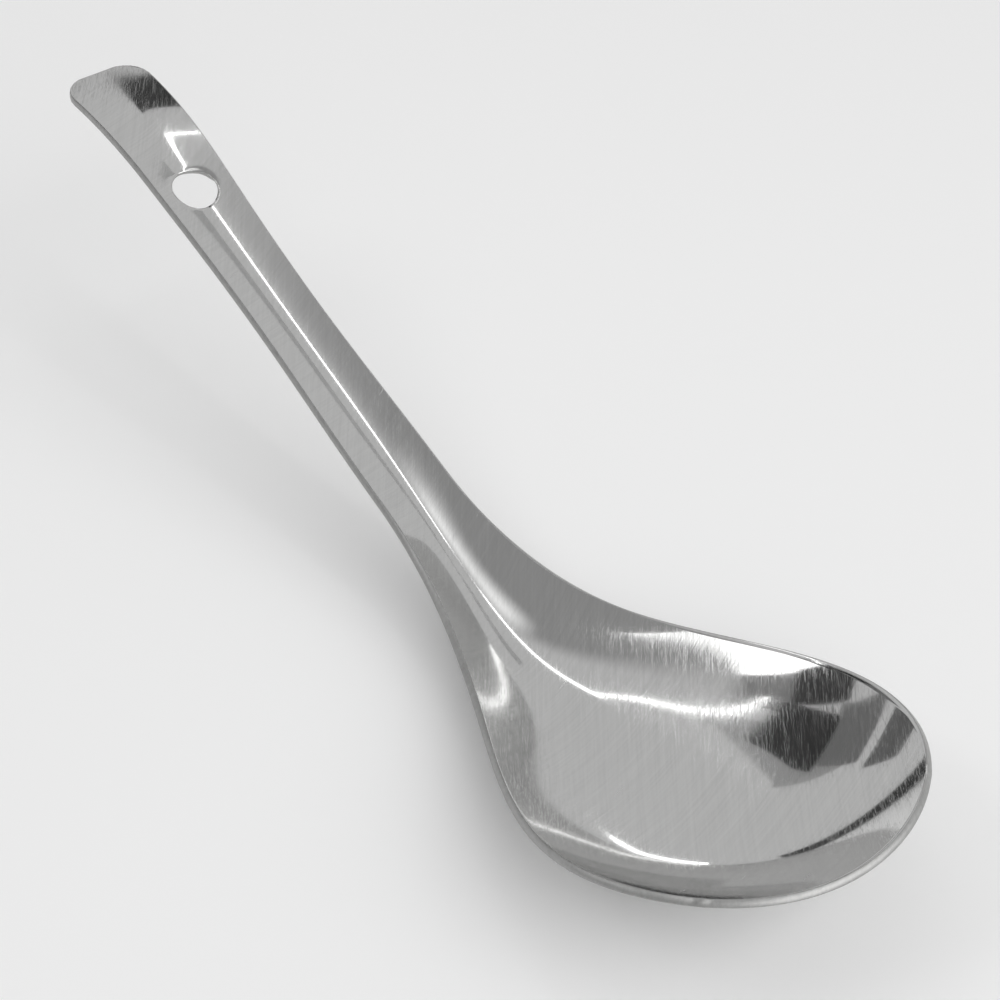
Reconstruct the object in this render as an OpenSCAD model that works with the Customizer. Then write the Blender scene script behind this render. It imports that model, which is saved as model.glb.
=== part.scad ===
// Soup ladle, pressed in one piece from steel sheet: a wide shallow bowl that flows into a trough handle.
// It is drawn with X to the bowl's tip, Y across and Z up, from the widest place of the bowl at X = 0.
// It is then leaned back as it stands, with the table at Z = 0 and the middle of its length at X = 0.

/* [Bowl] */
// Width of the bowl across its rim
bowl_width = 72; // [60:1:84]
// Length of the rounded front, from the widest place to the tip
bowl_front = 34.5; // [28:0.5:42]
// Height of the rim over the inside floor at the widest place
bowl_depth = 14; // [10:0.5:17]
// Form of the wall: 2 is evenly round, more gives a flatter floor under a steeper wall
bowl_fullness = 2; // [1.8:0.1:2.8]
// Rise of the rim toward the tip, in degrees
rim_tilt = 10.5; // [6:0.5:14]
// How far the rim dips at the pouring tip
tip_dip = 4; // [0:0.5:6]
// How far the floor dips toward the tip
front_drop = 2.5; // [0:0.5:4]
// Length of the straight floor behind the widest place
floor_length = 56; // [48:1:60]
// Fall of the floor toward the neck, in degrees
floor_tilt = 4; // [2:0.5:9]

/* [Neck] */
// Distance from the widest place to the end of the neck
neck_length = 90; // [82:1:98]
// How much of the narrowing comes early, near the bowl
neck_taper = 0.25; // [0:0.05:0.3]
// Distance from the widest place to the bend in the rim
bend_place = 54; // [48:1:60]
// Length over which the rim bends up
bend_blend = 20; // [10:1:26]
// Length over which the trough's bottom leaves the floor
floor_blend = 16; // [8:1:20]
// Distance from the widest place to where the ramp meets the handle's trough
ramp_reach = 95; // [88:1:110]
// Form of the neck's section: more gives a flatter floor under steeper walls
neck_fullness = 2.6; // [2.2:0.1:3.6]
// Distance from the widest place to where the neck's form begins
form_start = 26; // [10:1:36]

/* [Handle] */
// Distance from the widest place to the handle's end
handle_reach = 197; // [180:1:215]
// Rise of the handle, in degrees
handle_rise = 24.5; // [18:0.5:30]
// Width of the handle where the neck ends
neck_width = 15.6; // [15.4:0.2:19]
// Width of the handle at its narrowest place
waist_width = 14; // [12.6:0.2:15.4]
// Width of the handle at its end
end_width = 18; // [16:0.2:24]
// Distance of the narrowest place from the end
waist_from_end = 66; // [56:1:76]
// Depth of the trough along the handle
trough_depth = 1.4; // [0.8:0.1:2.4]
// Length over which the trough flattens out toward the end
trough_fade = 34; // [20:1:34]
// Length of sheet over which the ramp eases into the trough
trough_blend = 3; // [1:0.5:5]
// Tightness of the trough's bottom: small is a sharp crease, large is a round channel
crease_round = 0.35; // [0.2:0.05:0.8]
// Radius of the corners at the end
end_corner = 6; // [3:0.5:7]
// How far the end bends down
end_drop = 7; // [0:0.5:9]
// Length of the bent end
end_bend = 32; // [24:1:40]

/* [Hanging hole] */
// Diameter of the punched hole
hole_diameter = 9; // [6:0.5:11]
// Distance of the hole from the end, along the handle
hole_from_end = 38.5; // [32:0.5:46]

/* [Sheet] */
// Thickness of the steel sheet
sheet = 1.5; // [1:0.1:2]

/* [Standing] */
// How far the ladle leans back on the table, in degrees
stand_tilt = 4.5; // [0:0.5:12]

/* [Hidden] */

columns = 24;
front_rows = 13;
neck_rows = 27;
handle_rows = 34;
corner_rows = 5;
probe = 0.05;

half_bowl = bowl_width / 2;
half_neck = neck_width / 2;
half_waist = waist_width / 2;
half_end = end_width / 2;
end_x = -handle_reach;
waist_x = end_x + waist_from_end;
hole_x = end_x + hole_from_end * cos(handle_rise);
rim_slope = tan(rim_tilt);
handle_slope = tan(handle_rise);
floor_slope = tan(floor_tilt);

// Straight lines that turn into each other over a given length
function soft_turn(d, blend) = (d + norm([d, blend])) / 2;
function ease(t) = (1 - cos(180 * min(max(t, 0), 1))) / 2;
function mix(a, b, t) = a + (b - a) * t;

// Height of the rim in side view: the bowl's rim, the bend, the handle and its drooping end
function rim_z(x) =
    rim_slope * x + (rim_slope + handle_slope) * soft_turn(-bend_place - x, bend_blend)
    - tip_dip * pow(max(x, 0) / bowl_front, 3)
    - end_drop * pow(max(end_x + end_bend - x, 0) / end_bend, 2);

floor_z = rim_z(0) - bowl_depth;
ramp_slope = (trough_z(-ramp_reach) - (floor_z - floor_slope * floor_length)) / (ramp_reach - floor_length);

// Height of the trough's bottom: the floor, the ramp up the neck, then the handle's own depth
function ramp_z(x) =
    floor_z + floor_slope * x + (ramp_slope + floor_slope) * soft_turn(-floor_length - x, floor_blend)
    - front_drop * pow(max(x, 0) / bowl_front, 2);
function trough_z(x) = rim_z(x) - trough_depth * ease((x - end_x) / trough_fade);
function bottom_z(x) =
    let (a = ramp_z(x), b = trough_z(x)) (a + b - norm([a - b, trough_blend])) / 2;

// Half the width across the sheet, before the end's corners are rounded
function neck_share(x) = let (t = min(max(-x / neck_length, 0), 1)) t + neck_taper * t * (1 - t);
function half_width(x) =
    x > -neck_length ? mix(half_bowl, half_neck, ease(neck_share(x)))
    : x > waist_x ? mix(half_neck, half_waist, ease((-neck_length - x) / (-neck_length - waist_x)))
    : mix(half_waist, half_end, ease((waist_x - x) / waist_from_end));

// Rise of a cross section from its bottom (0) to its rim (1): a round bowl, a flat neck, a soft V handle
function bowl_form(v) = pow(abs(v), bowl_fullness);
function form_share(x) = ease((-x - form_start) / (floor_length - form_start));
function neck_form(x, v) = pow(abs(v), mix(bowl_fullness, neck_fullness, form_share(x)));
function trough_form(v) =
    (norm([v, crease_round]) - crease_round) / (norm([1, crease_round]) - crease_round);
function section(x, v) =
    mix(neck_form(x, v), trough_form(v), ease((-x - floor_length) / (neck_length - floor_length)));

// Inside face of the ladle as a height over the plan
function inside_z(x, y) =
    x > 0
    ? let (r = norm([x / bowl_front, y / half_bowl])) bottom_z(x) + (rim_z(x) - bottom_z(x)) * bowl_form(r)
    : bottom_z(x) + (rim_z(x) - bottom_z(x)) * section(x, y / half_width(x));

function normal_at(x, y) =
    let (a = (inside_z(x + probe, y) - inside_z(x - probe, y)) / (2 * probe),
         b = (inside_z(x, y + probe) - inside_z(x, y - probe)) / (2 * probe),
         n = [-a, -b, 1])
    n / norm(n);

// Stations along the length, from the end's rounded corners to the widest place
stations = concat(
    [for (i = [0:corner_rows - 1]) end_x + end_corner * (1 - cos(90 * i / corner_rows))],
    [for (i = [0:handle_rows - 1]) mix(end_x + end_corner, -neck_length, i / handle_rows)],
    [for (i = [0:neck_rows]) mix(-neck_length, 0, i / neck_rows)]
);
function corner_cut(x) =
    let (d = max(end_corner - (x - end_x), 0)) end_corner - sqrt(max(end_corner * end_corner - d * d, 0));
function share(j) = 2 * j / columns - 1;

// Plan of the sheet: straight rows on the handle and neck, rows that bow into the rounded tip on the front
plan = concat(
    [for (x = stations) [for (j = [0:columns]) [x, (half_width(x) - corner_cut(x)) * share(j)]]],
    [for (i = [1:front_rows]) let (s = i / front_rows)
        [for (j = [0:columns]) let (v = share(j))
            [bowl_front * s * sqrt(1 - v * v / 2), half_bowl * v * sqrt(1 - s * s / 2)]]]
);
rows = len(plan);
across = columns + 1;

inside = [for (row = plan) for (p = row) [p[0], p[1], inside_z(p[0], p[1])]];
outside = [for (row = plan) for (p = row) [p[0], p[1], inside_z(p[0], p[1])] - sheet * normal_at(p[0], p[1])];

// Where the leaned sheet meets the table, and the middle of its length
leaned = [for (p = concat(inside, outside))
    [p[0] * cos(stand_tilt) - p[2] * sin(stand_tilt), p[0] * sin(stand_tilt) + p[2] * cos(stand_tilt)]];
lift = -min([for (p = leaned) p[1]]);
middle = (min([for (p = leaned) p[0]]) + max([for (p = leaned) p[0]])) / 2;

function at(i, j) = i * across + j;
half_count = rows * across;
edge_loop = concat(
    [for (j = [0:columns - 1]) at(0, j)],
    [for (i = [0:rows - 2]) at(i, columns)],
    [for (j = [columns:-1:1]) at(rows - 1, j)],
    [for (i = [rows - 1:-1:1]) at(i, 0)]
);
cells = [for (i = [0:rows - 2]) for (j = [0:columns - 1])
    [at(i, j), at(i + 1, j), at(i + 1, j + 1), at(i, j + 1)]];
inside_faces = [for (c = cells) each [[c[2], c[1], c[0]], [c[3], c[2], c[0]]]];
outside_faces = [for (f = inside_faces) [f[2], f[1], f[0]] + [1, 1, 1] * half_count];
edge_faces = [for (k = [0:len(edge_loop) - 1])
    let (a = edge_loop[k], b = edge_loop[(k + 1) % len(edge_loop)])
    each [[a, b, b + half_count], [a, b + half_count, a + half_count]]];

hole_lean = atan2(normal_at(hole_x, 0)[0], normal_at(hole_x, 0)[2]);

module pressed_sheet() {
    polyhedron(concat(inside, outside), concat(inside_faces, outside_faces, edge_faces), convexity = 6);
}

module hanging_hole() {
    translate([hole_x, 0, inside_z(hole_x, 0)])
        rotate([0, hole_lean, 0])
            cylinder(d = hole_diameter, h = 4 * sheet + 2 * trough_depth, center = true, $fn = 64);
}

module ladle() {
    color("silver")
        translate([-middle, 0, lift])
            rotate([0, -stand_tilt, 0])
                difference() {
                    pressed_sheet();
                    hanging_hole();
                }
}

ladle();
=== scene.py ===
"""Soup ladle pressed from one steel sheet, polished all over and ground along its cut edge.

Lengths of the ladle are in millimetres, as on a maker's drawing, and become metres when the mesh is made.
The sheet is drawn with X to the bowl's tip, from the widest place of the bowl, and then set down on the
table.
"""
import logging
import math
from dataclasses import dataclass, field
from enum import Enum
from typing import List, Sequence, Tuple

import bpy
import numpy as np
from mathutils import Matrix, Vector


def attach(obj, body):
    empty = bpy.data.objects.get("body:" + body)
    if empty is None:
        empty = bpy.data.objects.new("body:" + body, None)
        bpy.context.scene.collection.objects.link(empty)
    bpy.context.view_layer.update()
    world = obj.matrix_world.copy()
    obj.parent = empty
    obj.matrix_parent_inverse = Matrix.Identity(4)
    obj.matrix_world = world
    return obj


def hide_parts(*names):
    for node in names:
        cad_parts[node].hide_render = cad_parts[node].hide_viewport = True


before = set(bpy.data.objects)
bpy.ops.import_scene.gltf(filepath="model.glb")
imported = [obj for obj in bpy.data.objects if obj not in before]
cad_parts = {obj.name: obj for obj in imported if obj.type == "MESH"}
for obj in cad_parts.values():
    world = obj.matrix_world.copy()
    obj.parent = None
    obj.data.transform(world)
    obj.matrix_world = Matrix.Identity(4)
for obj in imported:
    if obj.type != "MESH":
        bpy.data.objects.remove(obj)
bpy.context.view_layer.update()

log = logging.getLogger("soup_ladle")
MM = 0.001
Triple = Tuple[float, float, float]


class SteelSlot(Enum):
    """Material slots of the sheet, in the order of its mesh."""

    FACE = 0
    EDGE = 1


class LampRole(Enum):
    """What each studio lamp is there for."""

    KEY = "key_softbox"
    TUBE = "high_tube"
    STRIP = "strip_light"
    WINDOW = "side_window"
    HORIZON = "horizon_light"


def heading(azimuth: float, elevation: float) -> Vector:
    """Direction from the ladle toward a place in the studio.

    Args:
        azimuth: degrees round the table, 0 on the near side and 90 at the bowl's tip.
        elevation: degrees above the table.

    Returns:
        A unit vector.
    """
    a, e = math.radians(azimuth), math.radians(elevation)
    return Vector((math.sin(a) * math.cos(e), -math.cos(a) * math.cos(e), math.sin(e)))


def facing(azimuth: float, elevation: float, distance: float, turn: float) -> Matrix:
    """Place of a lamp or flag that faces the ladle.

    Args:
        azimuth: degrees round the table, as in heading.
        elevation: degrees above the table.
        distance: metres from the ladle.
        turn: degrees that it is turned in its own plane.

    Returns:
        The place, with its own Z away from the ladle.
    """
    toward = heading(azimuth, elevation)
    turned = toward.to_track_quat("Z", "Y").to_matrix().to_4x4() @ Matrix.Rotation(math.radians(turn), 4, "Z")
    return Matrix.Translation(toward * distance) @ turned


class Graph:
    """Small helper that places and joins nodes in one node tree."""

    NODE_GAP = 220
    ROW_GAP = 60
    ROWS = 4

    def __init__(self, tree: bpy.types.NodeTree) -> None:
        """Keeps the tree that the nodes go into.

        Args:
            tree: the tree to fill.
        """
        self.tree = tree
        self.count = 0

    def add(self, kind: str, **settings: object) -> bpy.types.Node:
        """Adds a node.

        Args:
            kind: the node's type name.
            settings: values for the node's own properties.

        Returns:
            The new node.
        """
        node = self.tree.nodes.new(kind)
        node.location = (self.NODE_GAP * self.count, -self.ROW_GAP * (self.count % self.ROWS))
        self.count += 1
        for name, value in settings.items():
            setattr(node, name, value)
        return node

    def link(self, source: bpy.types.NodeSocket, target: bpy.types.NodeSocket) -> None:
        """Joins an output to an input.

        Args:
            source: the output.
            target: the input.
        """
        self.tree.links.new(source, target)

    def maths(self, operation: str, a: object, b: object = None) -> bpy.types.NodeSocket:
        """Adds a Math node.

        Args:
            operation: the node's operation.
            a: a socket or a number.
            b: a second socket or number, where the operation takes two.

        Returns:
            The node's output socket.
        """
        node = self.add("ShaderNodeMath", operation=operation)
        for place, value in enumerate((a, b)):
            if isinstance(value, bpy.types.NodeSocket):
                self.link(value, node.inputs[place])
            elif value is not None:
                node.inputs[place].default_value = value
        return node.outputs[0]

    def noise(self, vector: bpy.types.NodeSocket, scale: float, detail: float) -> bpy.types.NodeSocket:
        """Adds a Noise Texture.

        Args:
            vector: coordinates to read.
            scale: waves per metre.
            detail: octaves.

        Returns:
            The value output.
        """
        node = self.add("ShaderNodeTexNoise")
        node.inputs["Scale"].default_value = scale
        node.inputs["Detail"].default_value = detail
        self.link(vector, node.inputs["Vector"])
        return node.outputs[0]


class NodeGroups:
    """Shader node groups that both steel finishes share."""

    FINE_SHARE = 0.65
    BROAD_SCALE = 0.27
    PATCH_SCALE = 0.8
    NOISE_MIDDLE = 0.5

    @staticmethod
    def _new(name: str, inputs: Sequence[Tuple[str, float]], outputs: Sequence[str]) -> bpy.types.NodeTree:
        """Makes an empty group with a Vector input and float sockets.

        Args:
            name: the group's name.
            inputs: names and default values of its float inputs.
            outputs: names of its outputs.

        Returns:
            The group.
        """
        group = bpy.data.node_groups.new(name, "ShaderNodeTree")
        group.interface.new_socket("Vector", in_out="INPUT", socket_type="NodeSocketVector")
        for label, value in inputs:
            socket = group.interface.new_socket(label, in_out="INPUT", socket_type="NodeSocketFloat")
            socket.default_value = value
        for label in outputs:
            group.interface.new_socket(label, in_out="OUTPUT", socket_type="NodeSocketFloat")
        return group

    @staticmethod
    def _drawn_out(graph: Graph, start: bpy.types.Node) -> bpy.types.NodeSocket:
        """Coordinates turned about Z, long one way and close together the other.

        Args:
            graph: the group's graph.
            start: the group's input node, with Vector, Turn, Fineness and Length.

        Returns:
            The drawn-out coordinates.
        """
        turn = graph.add("ShaderNodeVectorRotate", rotation_type="Z_AXIS")
        graph.link(start.outputs["Vector"], turn.inputs["Vector"])
        graph.link(start.outputs["Turn"], turn.inputs["Angle"])
        split, joined = graph.add("ShaderNodeSeparateXYZ"), graph.add("ShaderNodeCombineXYZ")
        graph.link(turn.outputs[0], split.inputs[0])
        for axis, scale in (("X", "Length"), ("Y", "Fineness"), ("Z", "Length")):
            stretched = graph.maths("MULTIPLY", split.outputs[axis], start.outputs[scale])
            graph.link(stretched, joined.inputs[axis])
        return joined.outputs[0]

    @classmethod
    def buffing_lines(cls) -> bpy.types.NodeTree:
        """Fine lines that a buffing wheel leaves, long one way and close together the other.

        Returns:
            A group with the inputs Turn, Fineness and Length, and the outputs Lines and Height.
        """
        group = cls._new(
            "buffing_lines", [("Turn", 0.0), ("Fineness", 1500.0), ("Length", 60.0)], ["Lines", "Height"]
        )
        graph = Graph(group)
        start, end = graph.add("NodeGroupInput"), graph.add("NodeGroupOutput")
        drawn = cls._drawn_out(graph, start)
        fine = graph.noise(drawn, 1.0, 3.0)
        broad = graph.noise(drawn, cls.BROAD_SCALE, 2.0)
        fine_part = graph.maths("MULTIPLY", fine, cls.FINE_SHARE)
        both = graph.maths("ADD", fine_part, graph.maths("MULTIPLY", broad, 1.0 - cls.FINE_SHARE))
        graph.link(both, end.inputs["Lines"])
        graph.link(graph.maths("SUBTRACT", both, cls.NOISE_MIDDLE), end.inputs["Height"])
        return group

    @classmethod
    def press_ripple(cls) -> bpy.types.NodeTree:
        """Slow waves that drawing and hammering leave in a pressed sheet, and patches of duller polish.

        Returns:
            A group with the input Waves, and the outputs Height and Patches.
        """
        group = cls._new("press_ripple", [("Waves", 60.0)], ["Height", "Patches"])
        graph = Graph(group)
        start, end = graph.add("NodeGroupInput"), graph.add("NodeGroupOutput")
        grown = graph.add("ShaderNodeVectorMath", operation="SCALE")
        graph.link(start.outputs["Vector"], grown.inputs[0])
        graph.link(start.outputs["Waves"], grown.inputs["Scale"])
        graph.link(graph.noise(grown.outputs[0], 1.0, 1.0), end.inputs["Height"])
        graph.link(graph.noise(grown.outputs[0], cls.PATCH_SCALE, 3.0), end.inputs["Patches"])
        return group

    @classmethod
    def light_scratches(cls) -> bpy.types.NodeTree:
        """Sparse thin scratches from use.

        Returns:
            A group with the inputs Turn, Fineness, Length and Share, and the output Mask.
        """
        group = cls._new(
            "light_scratches",
            [("Turn", 0.0), ("Fineness", 420.0), ("Length", 26.0), ("Share", 0.045)],
            ["Mask"],
        )
        graph = Graph(group)
        start, end = graph.add("NodeGroupInput"), graph.add("NodeGroupOutput")
        cells = graph.add("ShaderNodeTexVoronoi", feature="F1")
        cells.inputs["Scale"].default_value = 1.0
        graph.link(cls._drawn_out(graph, start), cells.inputs["Vector"])
        near = graph.maths("LESS_THAN", cells.outputs["Distance"], start.outputs["Share"])
        graph.link(near, end.inputs["Mask"])
        return group


@dataclass(frozen=True)
class SteelFinish:
    """One way that the steel is finished, and the material that shows it."""

    name: str
    colour: Triple
    colour_swing: float
    roughness: float
    roughness_swing: float
    haze: float
    line_turns: Tuple[float, ...]
    line_fineness: float
    line_length: float
    line_depth: float
    ripple_depth: float
    scratch_turn: float
    scratch_dulling: float = 0.2
    hair_fineness: float = 14000.0
    hair_length: float = 600.0
    hair_range: Tuple[float, float] = (0.5, 0.6)

    def material(self, groups: "SharedEffects") -> bpy.types.Material:
        """Builds the material.

        Args:
            groups: the node groups that the finishes share.

        Returns:
            The material.
        """
        made = bpy.data.materials.new(self.name)
        made.use_nodes = True
        made.node_tree.nodes.clear()
        graph = Graph(made.node_tree)
        place = graph.add("ShaderNodeTexCoord").outputs["Object"]
        shader, out = graph.add("ShaderNodeBsdfPrincipled"), graph.add("ShaderNodeOutputMaterial")
        graph.link(shader.outputs[0], out.inputs["Surface"])
        shader.inputs["Metallic"].default_value = 1.0

        layers = [
            self._lines(graph, groups, place, turn, self.line_fineness, self.line_length)
            for turn in self.line_turns
        ]
        line_sum, height_sum = layers[0].outputs["Lines"], layers[0].outputs["Height"]
        for layer in layers[1:]:
            line_sum = graph.maths("ADD", line_sum, layer.outputs["Lines"])
            height_sum = graph.maths("ADD", height_sum, layer.outputs["Height"])
        line_mean = graph.maths("MULTIPLY", line_sum, 1.0 / len(layers))
        ripple = graph.add("ShaderNodeGroup", node_tree=groups.ripple)
        graph.link(place, ripple.inputs["Vector"])

        graph.link(self._tone(graph, line_mean), shader.inputs["Base Color"])
        swing = graph.maths("SUBTRACT", graph.maths("ADD", line_mean, ripple.outputs["Patches"]), 1.0)
        graph.link(self._roughness(graph, groups, place, swing), shader.inputs["Roughness"])
        graph.link(self._relief(graph, height_sum, ripple.outputs["Height"]), shader.inputs["Normal"])
        return made

    @staticmethod
    def _lines(
        graph: Graph,
        groups: "SharedEffects",
        place: bpy.types.NodeSocket,
        turn: float,
        fineness: float,
        length: float,
    ) -> bpy.types.Node:
        """Adds one layer of buffing lines.

        Args:
            graph: the material's graph.
            groups: the node groups that the finishes share.
            place: the object's coordinates.
            turn: degrees that the lines are turned about Z.
            fineness: lines per metre.
            length: breaks per metre along a line.

        Returns:
            The group's node.
        """
        layer = graph.add("ShaderNodeGroup", node_tree=groups.buffing)
        graph.link(place, layer.inputs["Vector"])
        layer.inputs["Turn"].default_value = math.radians(turn)
        layer.inputs["Fineness"].default_value = fineness
        layer.inputs["Length"].default_value = length
        return layer

    def _tone(self, graph: Graph, line_mean: bpy.types.NodeSocket) -> bpy.types.NodeSocket:
        """Colour that swings with the buffing lines.

        Args:
            graph: the material's graph.
            line_mean: the lines, from 0 to 1.

        Returns:
            The colour.
        """
        tone = graph.add("ShaderNodeMix", data_type="RGBA")
        tone.inputs["A"].default_value = (*[c * (1 - self.colour_swing) for c in self.colour], 1)
        tone.inputs["B"].default_value = (*[min(c * (1 + self.colour_swing), 1) for c in self.colour], 1)
        graph.link(line_mean, tone.inputs["Factor"])
        return tone.outputs["Result"]

    def _roughness(
        self, graph: Graph, groups: "SharedEffects", place: bpy.types.NodeSocket, swing: bpy.types.NodeSocket
    ) -> bpy.types.NodeSocket:
        """Roughness that swings with the lines and patches, and rises in scratches and fine hairs.

        Args:
            graph: the material's graph.
            groups: the node groups that the finishes share.
            place: the object's coordinates.
            swing: the lines and patches together, about 0.

        Returns:
            The roughness.
        """
        marks = graph.add("ShaderNodeGroup", node_tree=groups.scratches)
        graph.link(place, marks.inputs["Vector"])
        marks.inputs["Turn"].default_value = math.radians(self.scratch_turn)
        hairs = self._lines(graph, groups, place, self.line_turns[0], self.hair_fineness, self.hair_length)
        hazy = graph.add("ShaderNodeMapRange", interpolation_type="SMOOTHSTEP")
        graph.link(hairs.outputs["Lines"], hazy.inputs["Value"])
        hazy.inputs["From Min"].default_value, hazy.inputs["From Max"].default_value = self.hair_range
        hazy.inputs["To Max"].default_value = self.haze
        rough = graph.maths("ADD", graph.maths("MULTIPLY", swing, self.roughness_swing), self.roughness)
        scratched = graph.maths("MULTIPLY", marks.outputs["Mask"], self.scratch_dulling)
        return graph.maths("ADD", graph.maths("ADD", rough, scratched), hazy.outputs["Result"])

    def _relief(
        self, graph: Graph, lines: bpy.types.NodeSocket, ripple: bpy.types.NodeSocket
    ) -> bpy.types.NodeSocket:
        """Normal of the rippled sheet with the buffing lines on it.

        Args:
            graph: the material's graph.
            lines: height of the buffing lines.
            ripple: height of the press ripple.

        Returns:
            The normal.
        """
        fine, broad = graph.add("ShaderNodeBump"), graph.add("ShaderNodeBump")
        fine.inputs["Distance"].default_value = self.line_depth
        graph.link(lines, fine.inputs["Height"])
        broad.inputs["Distance"].default_value = self.ripple_depth
        graph.link(ripple, broad.inputs["Height"])
        graph.link(broad.outputs[0], fine.inputs["Normal"])
        return fine.outputs[0]


@dataclass
class SharedEffects:
    """The node groups, made once."""

    buffing: bpy.types.NodeTree = field(default_factory=NodeGroups.buffing_lines)
    ripple: bpy.types.NodeTree = field(default_factory=NodeGroups.press_ripple)
    scratches: bpy.types.NodeTree = field(default_factory=NodeGroups.light_scratches)


POLISHED = SteelFinish(
    name="polished_steel",
    colour=(0.62, 0.62, 0.615),
    colour_swing=0.22,
    roughness=0.065,
    roughness_swing=0.05,
    haze=0.12,
    line_turns=(38.0, 71.0),
    line_fineness=2400.0,
    line_length=70.0,
    line_depth=0.0000025,
    ripple_depth=0.000015,
    scratch_turn=68.0,
)
GROUND = SteelFinish(
    name="ground_steel",
    colour=(0.42, 0.42, 0.415),
    colour_swing=0.4,
    roughness=0.45,
    roughness_swing=0.16,
    haze=0.1,
    line_turns=(20.0, 95.0),
    line_fineness=2600.0,
    line_length=900.0,
    line_depth=0.00002,
    ripple_depth=0.00004,
    scratch_turn=10.0,
)


@dataclass
class Ladle:
    """The pressed sheet: bowl, neck, trough handle and hanging hole in one piece of steel."""

    bowl_width: float = 72.0
    bowl_front: float = 34.5
    bowl_depth: float = 14.0
    bowl_fullness: float = 2.0
    rim_tilt: float = 10.5
    tip_dip: float = 4.0
    front_drop: float = 2.5
    floor_length: float = 56.0
    floor_tilt: float = 4.0
    neck_length: float = 90.0
    neck_taper: float = 0.25
    bend_place: float = 54.0
    bend_blend: float = 20.0
    floor_blend: float = 16.0
    ramp_reach: float = 95.0
    handle_reach: float = 197.0
    handle_rise: float = 24.5
    neck_width: float = 15.6
    waist_width: float = 14.0
    end_width: float = 18.0
    waist_from_end: float = 66.0
    trough_depth: float = 1.4
    trough_fade: float = 34.0
    trough_blend: float = 3.0
    crease_round: float = 0.35
    end_corner: float = 6.0
    end_drop: float = 7.0
    end_bend: float = 32.0
    hole_diameter: float = 9.0
    hole_from_end: float = 38.5
    sheet: float = 1.5
    stand_tilt: float = 4.5
    edge_round: float = 0.18
    edge_segments: int = 2
    edge_angle: float = 50.0
    hole_roll: float = 0.3
    hole_roll_reach: float = 0.9

    half_columns: int = 36
    corner_rows: int = 6
    end_rows: int = 22
    handle_rows: int = 62
    neck_rows: int = 92
    front_rows: int = 38
    hole_block: int = 30
    hole_ring: int = 22
    settle_steps: int = 6

    def __post_init__(self) -> None:
        """Works out the lengths and slopes that several methods use."""
        self.end_x = -self.handle_reach
        self.waist_x = self.end_x + self.waist_from_end
        self.lean = math.radians(self.handle_rise)
        self.hole_x = self.end_x + self.hole_from_end * math.cos(self.lean)
        self.rim_slope = math.tan(math.radians(self.rim_tilt))
        self.handle_slope = math.tan(self.lean)
        self.floor_slope = math.tan(math.radians(self.floor_tilt))
        self.floor_z = float(self.rim_z(np.array(0.0))) - self.bowl_depth
        low = self.floor_z - self.floor_slope * self.floor_length
        top = float(self.rim_z(np.array(-self.ramp_reach))) - self.trough_depth
        self.ramp_slope = (top - low) / (self.ramp_reach - self.floor_length)

    @staticmethod
    def soft_turn(d: np.ndarray, blend: float) -> np.ndarray:
        """Zero that turns into a straight rise.

        Args:
            d: distances past the turn.
            blend: length of the turn.

        Returns:
            The rises.
        """
        return (d + np.hypot(d, blend)) / 2

    @staticmethod
    def ease(t: np.ndarray) -> np.ndarray:
        """Smooth step.

        Args:
            t: shares of the way, which are kept between 0 and 1.

        Returns:
            Eased shares, from 0 to 1.
        """
        return (1 - np.cos(np.pi * np.clip(t, 0, 1))) / 2

    def rim_z(self, x: np.ndarray) -> np.ndarray:
        """Height of the rim in side view.

        Args:
            x: places along the length.

        Returns:
            The rim's heights there.
        """
        bend = (self.rim_slope + self.handle_slope) * self.soft_turn(-self.bend_place - x, self.bend_blend)
        dip = self.tip_dip * (np.maximum(x, 0) / self.bowl_front) ** 3
        droop = self.end_drop * (np.maximum(self.end_x + self.end_bend - x, 0) / self.end_bend) ** 2
        return self.rim_slope * x + bend - dip - droop

    def bottom_z(self, x: np.ndarray) -> np.ndarray:
        """Height of the inside along the middle: floor, ramp up the neck, then the handle's trough.

        Args:
            x: places along the length.

        Returns:
            The heights of the inside face at Y = 0.
        """
        turn = self.soft_turn(-self.floor_length - x, self.floor_blend)
        drop = self.front_drop * (np.maximum(x, 0) / self.bowl_front) ** 2
        a = self.floor_z + self.floor_slope * x + (self.ramp_slope + self.floor_slope) * turn - drop
        b = self.rim_z(x) - self.trough_depth * self.ease((x - self.end_x) / self.trough_fade)
        return (a + b - np.hypot(a - b, self.trough_blend)) / 2

    def half_width(self, x: np.ndarray) -> np.ndarray:
        """Half the width across the sheet, before the end's corners are rounded.

        Args:
            x: places along the length, up to the widest place.

        Returns:
            Half widths there.
        """
        bowl, neck = self.bowl_width / 2, self.neck_width / 2
        waist, end = self.waist_width / 2, self.end_width / 2
        t = np.clip(-x / self.neck_length, 0, 1)
        t = t + self.neck_taper * t * (1 - t)
        at_neck = bowl + (neck - bowl) * self.ease(t)
        down = (-self.neck_length - x) / (-self.neck_length - self.waist_x)
        at_handle = neck + (waist - neck) * self.ease(down)
        at_end = waist + (end - waist) * self.ease((self.waist_x - x) / self.waist_from_end)
        return np.where(x > -self.neck_length, at_neck, np.where(x > self.waist_x, at_handle, at_end))

    def inside_z(self, x: np.ndarray, y: np.ndarray) -> np.ndarray:
        """Height of the inside face over the plan.

        Args:
            x: places along the length.
            y: places across.

        Returns:
            Heights of the inside face.
        """
        rim, low = self.rim_z(x), self.bottom_z(x)
        round_front = np.hypot(x / self.bowl_front, y / (self.bowl_width / 2)) ** self.bowl_fullness
        v = np.abs(y / self.half_width(x))
        c = self.crease_round
        trough = (np.hypot(v, c) - c) / (math.hypot(1, c) - c)
        share = self.ease((-x - self.floor_length) / (self.neck_length - self.floor_length))
        section = v**self.bowl_fullness * (1 - share) + trough * share
        return low + (rim - low) * np.where(x > 0, round_front, section)

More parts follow.
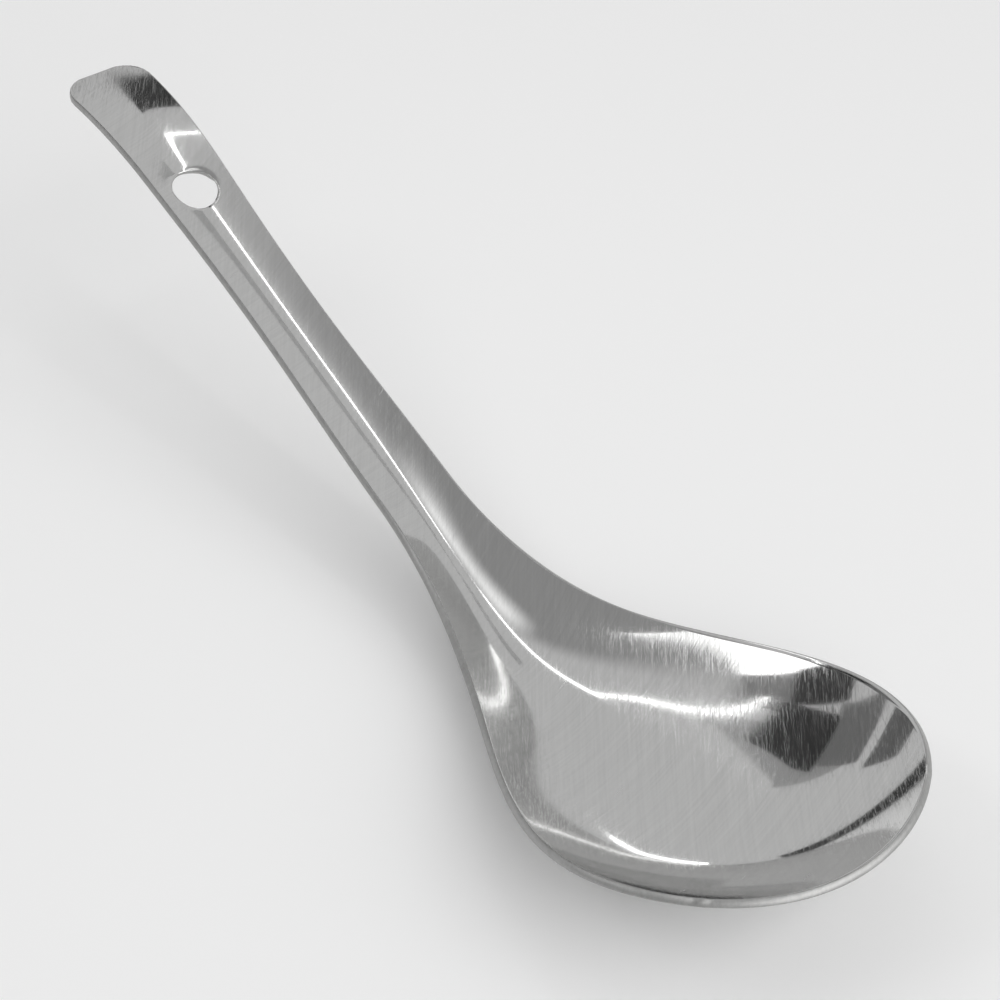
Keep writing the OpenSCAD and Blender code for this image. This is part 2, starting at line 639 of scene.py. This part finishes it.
    def rolled_edge(self, x: np.ndarray, y: np.ndarray) -> np.ndarray:
        """How far the punch rolled the sheet down round the hanging hole.

        Args:
            x: places along the length.
            y: places across.

        Returns:
            The drop of the inside face.
        """
        from_edge = np.hypot((x - self.hole_x) / math.cos(self.lean), y) - self.hole_diameter / 2
        return self.hole_roll * np.clip(1 - from_edge / self.hole_roll_reach, 0, 1) ** 2

    def corner_cut(self, x: np.ndarray) -> np.ndarray:
        """How much the rounded corners take off each side near the end.

        Args:
            x: places along the length.

        Returns:
            The cuts there.
        """
        d = np.clip(self.end_corner - (x - self.end_x), 0, self.end_corner)
        return self.end_corner - np.sqrt(np.clip(self.end_corner**2 - d * d, 0, None))

    def stations(self) -> Tuple[np.ndarray, int]:
        """Places of the straight rows along the handle and neck.

        Returns:
            The places, and the number of the row through the middle of the hanging hole.
        """
        block = self.hole_block * self.cell() * math.cos(self.lean)
        turn = np.linspace(0, np.pi / 2, self.corner_rows, endpoint=False)
        parts = [
            self.end_x + self.end_corner * (1 - np.cos(turn)),
            np.linspace(self.end_x + self.end_corner, self.hole_x - block, self.end_rows, endpoint=False),
            np.linspace(self.hole_x - block, self.hole_x + block, 2 * self.hole_block, endpoint=False),
            np.linspace(self.hole_x + block, -self.neck_length, self.handle_rows, endpoint=False),
            np.linspace(-self.neck_length, 0, self.neck_rows + 1),
        ]
        return np.concatenate(parts), self.corner_rows + self.end_rows + self.hole_block

    def cell(self) -> float:
        """Width of one grid cell beside the hanging hole.

        Returns:
            The width.
        """
        return float(self.half_width(np.array(self.hole_x))) / self.half_columns

    def plan(self) -> Tuple[np.ndarray, np.ndarray]:
        """Plan of the sheet as a grid of points, with rings round the hanging hole.

        Returns:
            The points, rows by columns by two, and a mask of the points that the hole takes away.
        """
        share = np.linspace(-1, 1, 2 * self.half_columns + 1)
        xs, middle = self.stations()
        x = np.repeat(xs[:, None], len(share), 1)
        y = (self.half_width(x) - self.corner_cut(x)) * share
        s = (np.arange(1, self.front_rows + 1) / self.front_rows)[:, None]
        front_x = self.bowl_front * s * np.sqrt(1 - share**2 / 2)
        front_y = self.bowl_width / 2 * share * np.sqrt(1 - s**2 / 2)
        x, y = np.concatenate([x, front_x]), np.concatenate([y, front_y])

        along = np.arange(len(x))[:, None] - middle
        across = np.arange(2 * self.half_columns + 1)[None, :] - self.half_columns
        ring = np.maximum(np.abs(along), np.abs(across))
        radius = self.hole_diameter / 2
        square_a, square_b = along * self.cell() + 0.0 * across, y.copy()
        side = np.where(np.abs(along) >= np.abs(across), np.abs(across), np.abs(along)) / np.maximum(ring, 1)
        steep = np.where(np.abs(along) >= np.abs(across), np.pi / 4 * side, np.pi / 2 - np.pi / 4 * side)
        round_a, round_b = radius * np.cos(steep) * np.sign(along), radius * np.sin(steep) * np.sign(across)
        t = np.clip((ring - self.hole_ring) / (self.hole_block - self.hole_ring), 0, 1)
        in_block = np.abs(along) <= self.hole_block + 0 * across
        ringed = in_block & (np.abs(across) <= self.hole_block)
        a = np.where(ringed, round_a + (square_a - round_a) * t, square_a)
        y = np.where(ringed, round_b + (square_b - round_b) * t, y)
        hole_z = float(self.inside_z(np.array(self.hole_x), np.array(0.0)))
        cos, sin = math.cos(self.lean), math.sin(self.lean)
        bowed = self.hole_x + a * cos
        for _ in range(self.settle_steps):
            place = (bowed - self.hole_x) * cos - (self.inside_z(bowed, y) - hole_z) * sin
            bowed = bowed + cos * (a - place)
        return np.stack([np.where(in_block, bowed, x), y], -1), (ring < self.hole_ring) & ringed

    def build(self) -> bpy.types.Object:
        """Shapes a grid into the sheet, punches the hole, and gives the sheet its thickness and its edge.

        Returns:
            The finished ladle, standing on the table in the part's own frame.
        """
        plan, punched = self.plan()
        rows, columns = plan.shape[:2]
        bpy.ops.object.select_all(action="DESELECT")
        bpy.ops.mesh.primitive_grid_add(x_subdivisions=rows - 1, y_subdivisions=columns - 1, size=2.0)
        ladle = bpy.context.object
        ladle.name = ladle.data.name = "pressed_ladle"
        mesh = ladle.data
        i, j = self.grid_places(mesh, rows, columns)
        self.choose(mesh, punched[i, j])
        bpy.ops.mesh.delete(type="VERT")
        bpy.ops.object.mode_set(mode="OBJECT")
        i, j = self.grid_places(mesh, rows, columns)
        self.choose(mesh, (i == rows - 1) & ((j == 0) | (j == columns - 1)))
        bpy.ops.mesh.dissolve_verts()
        bpy.ops.object.mode_set(mode="OBJECT")

        i, j = self.grid_places(mesh, rows, columns)
        x, y = plan[i, j, 0], plan[i, j, 1]
        shaped = np.stack([x, y, self.inside_z(x, y) - self.rolled_edge(x, y)], -1)
        mesh.vertices.foreach_set("co", (self.leaned(shaped) * MM).astype(np.float32).ravel())
        mesh.update()
        bpy.ops.object.mode_set(mode="EDIT")
        bpy.ops.mesh.select_all(action="SELECT")
        bpy.ops.mesh.normals_make_consistent(inside=False)
        bpy.ops.object.mode_set(mode="OBJECT")
        if np.mean([p.normal.z for p in mesh.polygons]) < 0:
            mesh.flip_normals()

        self.thicken(ladle)
        self.set_down(ladle)
        return ladle

    @staticmethod
    def grid_places(mesh: bpy.types.Mesh, rows: int, columns: int) -> Tuple[np.ndarray, np.ndarray]:
        """Finds each vertex's place in the flat grid.

        Args:
            mesh: the flat grid, two metres square.
            rows: rows of vertices along X.
            columns: columns of vertices along Y.

        Returns:
            The vertices' rows and columns.
        """
        flat = np.empty(len(mesh.vertices) * 3, np.float32)
        mesh.vertices.foreach_get("co", flat)
        share = (flat.reshape(-1, 3)[:, :2] + 1) / 2
        return np.rint(share[:, 0] * (rows - 1)).astype(int), np.rint(share[:, 1] * (columns - 1)).astype(int)

    @staticmethod
    def choose(mesh: bpy.types.Mesh, chosen: np.ndarray) -> None:
        """Selects vertices and goes to edit mode.

        Args:
            mesh: the mesh of the active object.
            chosen: a mask over its vertices.
        """
        bpy.ops.object.mode_set(mode="EDIT")
        bpy.ops.mesh.select_mode(type="VERT")
        bpy.ops.mesh.select_all(action="DESELECT")
        bpy.ops.object.mode_set(mode="OBJECT")
        mesh.vertices.foreach_set("select", chosen)
        bpy.ops.object.mode_set(mode="EDIT")

    def leaned(self, points: np.ndarray) -> np.ndarray:
        """Leans points back as the ladle stands.

        Args:
            points: places in the drawing.

        Returns:
            The same places, leaned.
        """
        t = math.radians(self.stand_tilt)
        x, y, z = points[..., 0], points[..., 1], points[..., 2]
        return np.stack([x * math.cos(t) - z * math.sin(t), y, x * math.sin(t) + z * math.cos(t)], -1)

    def thicken(self, ladle: bpy.types.Object) -> None:
        """Gives the sheet its thickness below the inside face, and rounds the cut edge.

        Args:
            ladle: the object to change.
        """
        for _ in SteelSlot:
            ladle.data.materials.append(None)
        thick = ladle.modifiers.new("sheet", "SOLIDIFY")
        thick.thickness, thick.offset = self.sheet * MM, -1.0
        thick.use_even_offset = thick.use_quality_normals = True
        thick.material_offset_rim = SteelSlot.EDGE.value
        rounded = ladle.modifiers.new("edge", "BEVEL")
        rounded.width, rounded.segments = self.edge_round * MM, self.edge_segments
        rounded.limit_method, rounded.angle_limit = "ANGLE", math.radians(self.edge_angle)
        rounded.material = SteelSlot.EDGE.value
        rounded.use_clamp_overlap, rounded.harden_normals = False, True
        for name in ("sheet", "edge"):
            bpy.ops.object.modifier_apply(modifier=name)
        bpy.ops.object.shade_smooth()

    @staticmethod
    def set_down(ladle: bpy.types.Object) -> None:
        """Moves the mesh so that it touches the table, with the middle of its length at the origin.

        Args:
            ladle: the object to move; its place goes into its mesh.
        """
        points = np.array([v.co for v in ladle.data.vertices])
        low, high = points.min(0), points.max(0)
        ladle.data.transform(Matrix.Translation((-(low[0] + high[0]) / 2, 0.0, -low[2])))

    def dress(self, ladle: bpy.types.Object, effects: SharedEffects) -> None:
        """Gives the ladle its finishes and its place in the frame.

        Args:
            ladle: the finished mesh.
            effects: the node groups that the finishes share.
        """
        for slot, finish in ((SteelSlot.FACE, POLISHED), (SteelSlot.EDGE, GROUND)):
            ladle.data.materials[slot.value] = finish.material(effects)
        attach(ladle, "root")
        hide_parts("ladle")
        edge = sum(p.material_index == SteelSlot.EDGE.value for p in ladle.data.polygons)
        log.info("pressed ladle: %d faces, %d of them on the edge", len(ladle.data.polygons), edge)


def area_lamp(role: LampRole, width: float, height: float, radiance: float, place: Matrix) -> bpy.types.Object:
    """Adds an area lamp that the camera does not see.

    Args:
        role: what the lamp is there for.
        width: its size along its own X, in metres.
        height: its size along its own Y, in metres.
        radiance: its brightness as seen in a mirror, where 1 is white.
        place: where it stands; it shines along its own -Z.

    Returns:
        The lamp's object.
    """
    data = bpy.data.lights.new(role.value, "AREA")
    data.shape, data.size, data.size_y = "RECTANGLE", width, height
    data.energy = radiance * math.pi * width * height
    lamp = bpy.data.objects.new(role.value, data)
    bpy.context.scene.collection.objects.link(lamp)
    lamp.matrix_world = place
    lamp.visible_camera = False
    return lamp


def mirror_panel(name: str, place: Matrix, material: bpy.types.Material) -> bpy.types.Object:
    """Adds a flat stage piece that shows only in the steel.

    Args:
        name: the piece's name.
        place: takes a square, two metres wide, to its place and size.
        material: its material.

    Returns:
        The piece.
    """
    bpy.ops.object.select_all(action="DESELECT")
    bpy.ops.mesh.primitive_grid_add(x_subdivisions=2, y_subdivisions=2, size=2.0)
    panel = bpy.context.object
    panel.name = name
    panel.data.transform(place)
    panel.data.materials.append(material)
    panel.visible_camera = panel.visible_diffuse = panel.visible_shadow = False
    return panel


@dataclass(frozen=True)
class Lamp:
    """One area lamp, aimed at the ladle."""

    role: LampRole
    azimuth: float
    elevation: float
    distance: float
    width: float
    height: float
    radiance: float
    turn: float = 0.0

    def add(self) -> bpy.types.Object:
        """Adds the lamp.

        Returns:
            The lamp's object.
        """
        place = facing(self.azimuth, self.elevation, self.distance, self.turn)
        return area_lamp(self.role, self.width, self.height, self.radiance, place)


@dataclass(frozen=True)
class Tube:
    """One thin straight lamp near the ladle, given by its two ends."""

    role: LampRole
    start: Triple
    end: Triple
    thickness: float
    radiance: float

    def add(self) -> bpy.types.Object:
        """Adds the lamp.

        Returns:
            The lamp's object, shining toward the middle of the ladle.
        """
        start, end = Vector(self.start), Vector(self.end)
        middle, along = (start + end) / 2, (end - start).normalized()
        away = (middle - along * middle.dot(along)).normalized()
        axes = Matrix((along, away.cross(along), away)).transposed()
        place = Matrix.Translation(middle) @ axes.to_4x4()
        return area_lamp(self.role, (end - start).length, self.thickness, self.radiance, place)


@dataclass(frozen=True)
class Flag:
    """A dark studio flag, which shows only in the steel."""

    name: str
    azimuth: float
    elevation: float
    distance: float
    width: float
    height: float
    grey: float
    turn: float = 0.0
    reach: float = 0.0
    roughness: float = 0.9

    def add(self) -> bpy.types.Object:
        """Adds the flag.

        Returns:
            The flag's object.
        """
        size = Matrix.Diagonal((self.width / 2, self.height / 2, 1.0, 1.0))
        place = facing(self.azimuth, self.elevation, self.distance, self.turn) @ size
        return mirror_panel(self.name, place, self.cloth())

    def cloth(self) -> bpy.types.Material:
        """Makes the flag's cloth, which a reach hides from steel farther away than that.

        Returns:
            The material.
        """
        made = bpy.data.materials.new(self.name)
        made.use_nodes = True
        made.node_tree.nodes.clear()
        graph = Graph(made.node_tree)
        shader, out = graph.add("ShaderNodeBsdfPrincipled"), graph.add("ShaderNodeOutputMaterial")
        shader.inputs["Base Color"].default_value = (self.grey, self.grey, self.grey, 1)
        shader.inputs["Roughness"].default_value = self.roughness
        surface = shader.outputs[0]
        if self.reach:
            length = graph.add("ShaderNodeLightPath").outputs["Ray Length"]
            far = graph.maths("GREATER_THAN", length, self.reach)
            clear, mix = graph.add("ShaderNodeBsdfTransparent"), graph.add("ShaderNodeMixShader")
            graph.link(far, mix.inputs[0])
            graph.link(surface, mix.inputs[1])
            graph.link(clear.outputs[0], mix.inputs[2])
            surface = mix.outputs[0]
        graph.link(surface, out.inputs["Surface"])
        return made


@dataclass(frozen=True)
class Glow:
    """A soft oval of light over the ladle, which shows only in the steel."""

    centre: Triple
    reach: Tuple[float, float]
    radiance: float
    name: str = "soft_glow"

    def add(self) -> bpy.types.Object:
        """Adds the oval.

        Returns:
            The oval's object.
        """
        place = Matrix.Translation(self.centre) @ Matrix.Diagonal((*self.reach, 1.0, 1.0))
        return mirror_panel(self.name, place, self.light())

    def light(self) -> bpy.types.Material:
        """Makes light that is full in the middle of the oval and fades to nothing at its edge.

        Returns:
            The material.
        """
        made = bpy.data.materials.new(self.name)
        made.use_nodes = True
        made.node_tree.nodes.clear()
        graph = Graph(made.node_tree)
        place = graph.add("ShaderNodeTexCoord").outputs["Object"]
        moved = graph.add("ShaderNodeVectorMath", operation="SUBTRACT")
        graph.link(place, moved.inputs[0])
        moved.inputs[1].default_value = self.centre
        shrunk = graph.add("ShaderNodeVectorMath", operation="DIVIDE")
        graph.link(moved.outputs[0], shrunk.inputs[0])
        shrunk.inputs[1].default_value = (*self.reach, 1.0)
        away = graph.add("ShaderNodeVectorMath", operation="LENGTH")
        graph.link(shrunk.outputs[0], away.inputs[0])
        share = graph.add("ShaderNodeMapRange", interpolation_type="SMOOTHSTEP")
        graph.link(away.outputs["Value"], share.inputs["Value"])
        share.inputs["To Min"].default_value, share.inputs["To Max"].default_value = 1.0, 0.0
        shine, clear = graph.add("ShaderNodeEmission"), graph.add("ShaderNodeBsdfTransparent")
        shine.inputs["Strength"].default_value = self.radiance
        mix, out = graph.add("ShaderNodeMixShader"), graph.add("ShaderNodeOutputMaterial")
        graph.link(share.outputs["Result"], mix.inputs[0])
        graph.link(clear.outputs[0], mix.inputs[1])
        graph.link(shine.outputs[0], mix.inputs[2])
        graph.link(mix.outputs[0], out.inputs["Surface"])
        return made


@dataclass
class Studio:
    """Pale floor, soft lamps, flags and the grey room round them."""

    floor_size: float = 24.0
    floor_cells: int = 4
    floor_grey: float = 0.93
    floor_roughness: float = 0.85
    floor_specular: float = 0.1
    room_far: float = 0.66
    room_near: float = 0.36
    room_ramp: Tuple[float, float] = (-0.06, 0.22)
    far_azimuth: float = -130.0
    lamps: List[Lamp] = field(default_factory=lambda: [
        Lamp(LampRole.KEY, azimuth=95.0, elevation=40.0, distance=2.6, width=4.2, height=2.2, radiance=1.75),
        Lamp(
            LampRole.WINDOW, azimuth=-33.5, elevation=47.8, distance=2.4, width=1.02, height=0.63, radiance=1.9,
            turn=-11.0,
        ),
        Lamp(LampRole.HORIZON, azimuth=-139.0, elevation=4.5, distance=2.4, width=0.45, height=0.1, radiance=2.5),
    ])
    tubes: List[Tube] = field(default_factory=lambda: [
        Tube(LampRole.TUBE, (0.05, 0.095, 0.3), (-0.172, 0.076, 0.31), thickness=0.018, radiance=2.4),
        Tube(LampRole.STRIP, (-0.17, 0.076, 0.312), (-0.17, -0.085, 0.346), thickness=0.003, radiance=5.0),
    ])
    flags: List[Flag] = field(default_factory=lambda: [
        Flag("bowl_flag", azimuth=-80.0, elevation=48.0, distance=1.2, width=0.33, height=0.24, grey=0.04),
        Flag("under_card", azimuth=-77.0, elevation=34.7, distance=1.22, width=0.34, height=0.32, grey=0.2),
        Flag(
            "crescent_card", azimuth=-84.0, elevation=43.0, distance=1.3, width=0.37, height=0.58, grey=0.43,
            turn=33.0,
        ),
        Flag("low_card", azimuth=-81.0, elevation=18.5, distance=1.2, width=0.28, height=0.21, grey=0.15),
        Flag("rim_flag", azimuth=-59.0, elevation=45.0, distance=2.2, width=0.42, height=0.46, grey=0.05),
        Flag("rim_card", azimuth=-62.0, elevation=53.5, distance=2.3, width=0.5, height=0.24, grey=0.33),
        Flag(
            "end_flag", azimuth=-111.0, elevation=40.3, distance=0.604, width=0.0875, height=0.3, grey=0.05,
            turn=14.0, reach=0.54,
        ),
        Flag("gap_flag", azimuth=-170.0, elevation=46.0, distance=2.3, width=0.8, height=0.3, grey=0.6),
        Flag("horizon_flag", azimuth=-105.0, elevation=2.3, distance=2.0, width=1.2, height=0.15, grey=0.05),
    ])
    glow: Glow = Glow(centre=(0.07, 0.0, 0.45), reach=(0.1, 0.2), radiance=1.25)

    def build(self) -> None:
        """Adds everything round the ladle."""
        self.add_floor()
        self.add_room()
        for lamp in [*self.lamps, *self.tubes]:
            lamp.add()
            log.info("lamp %s", lamp.role.value)
        for flag in self.flags:
            flag.add()
            log.info("flag %s", flag.name)
        self.glow.add()

    def add_floor(self) -> None:
        """Adds the pale floor."""
        bpy.ops.object.select_all(action="DESELECT")
        cells = self.floor_cells
        bpy.ops.mesh.primitive_grid_add(x_subdivisions=cells, y_subdivisions=cells, size=self.floor_size)
        floor = bpy.context.object
        floor.name = "floor"
        paper = bpy.data.materials.new("pale_paper")
        paper.use_nodes = True
        shader = paper.node_tree.nodes["Principled BSDF"]
        shader.inputs["Base Color"].default_value = (self.floor_grey,) * 3 + (1,)
        shader.inputs["Roughness"].default_value = self.floor_roughness
        shader.inputs["Specular IOR Level"].default_value = self.floor_specular
        floor.data.materials.append(paper)

    def add_room(self) -> None:
        """Makes the world a soft grey room, lighter on the far side."""
        world = bpy.data.worlds.new("grey_room")
        bpy.context.scene.world = world
        world.use_nodes = True
        world.node_tree.nodes.clear()
        graph = Graph(world.node_tree)
        way = graph.add("ShaderNodeTexCoord").outputs["Generated"]
        dot = graph.add("ShaderNodeVectorMath", operation="DOT_PRODUCT")
        graph.link(way, dot.inputs[0])
        dot.inputs[1].default_value = heading(self.far_azimuth, 0.0)
        ramp = graph.add("ShaderNodeMapRange", interpolation_type="SMOOTHSTEP")
        graph.link(dot.outputs["Value"], ramp.inputs["Value"])
        ramp.inputs["From Min"].default_value, ramp.inputs["From Max"].default_value = self.room_ramp
        ramp.inputs["To Min"].default_value = self.room_near
        ramp.inputs["To Max"].default_value = self.room_far
        light, out = graph.add("ShaderNodeBackground"), graph.add("ShaderNodeOutputWorld")
        graph.link(ramp.outputs["Result"], light.inputs["Color"])
        graph.link(light.outputs[0], out.inputs["Surface"])


@dataclass
class PhotoCamera:
    """Camera at the photograph's viewing angle, given in the ladle's drawing and leaned with it."""

    field_of_view: float = 18.0
    sensor_width: float = 36.0
    clip: Tuple[float, float] = (0.01, 60.0)
    azimuth: float = 52.168
    elevation: float = 38.101
    distance: float = 576.536
    target: Triple = (-62.928, 0.0, 21.004)
    table_shift: Triple = (82.534, 0.0, 18.234)

    def build(self, ladle: Ladle) -> bpy.types.Object:
        """Adds the camera and makes it the scene's own.

        Args:
            ladle: gives the lean from the drawing to the table.

        Returns:
            The camera.
        """
        back = heading(self.azimuth, self.elevation)
        right = Vector((0, 0, 1)).cross(back).normalized()
        up = back.cross(right)
        eye = Vector(self.target) + back * self.distance
        axes = ladle.leaned(np.array([right, up, back]))
        place = (ladle.leaned(np.array(eye)) + np.array(self.table_shift)) * MM
        data = bpy.data.cameras.new("photo_camera")
        data.sensor_width = self.sensor_width
        data.lens = self.sensor_width / 2 / math.tan(math.radians(self.field_of_view / 2))
        data.clip_start, data.clip_end = self.clip
        camera = bpy.data.objects.new("photo_camera", data)
        bpy.context.scene.collection.objects.link(camera)
        matrix = Matrix.Identity(4)
        for k in range(3):
            matrix.col[k][:3] = axes[k]
        matrix.translation = place
        camera.matrix_world = matrix
        bpy.context.scene.camera = camera
        return camera


def main() -> None:
    """Builds the ladle, the studio and the camera, in order."""
    logging.basicConfig(level=logging.INFO, format="%(message)s")
    bpy.context.scene.view_settings.view_transform = "Standard"
    ladle = Ladle()
    piece = ladle.build()
    ladle.dress(piece, SharedEffects())
    Studio().build()
    PhotoCamera().build(ladle)


if __name__ == "__main__":
    main()
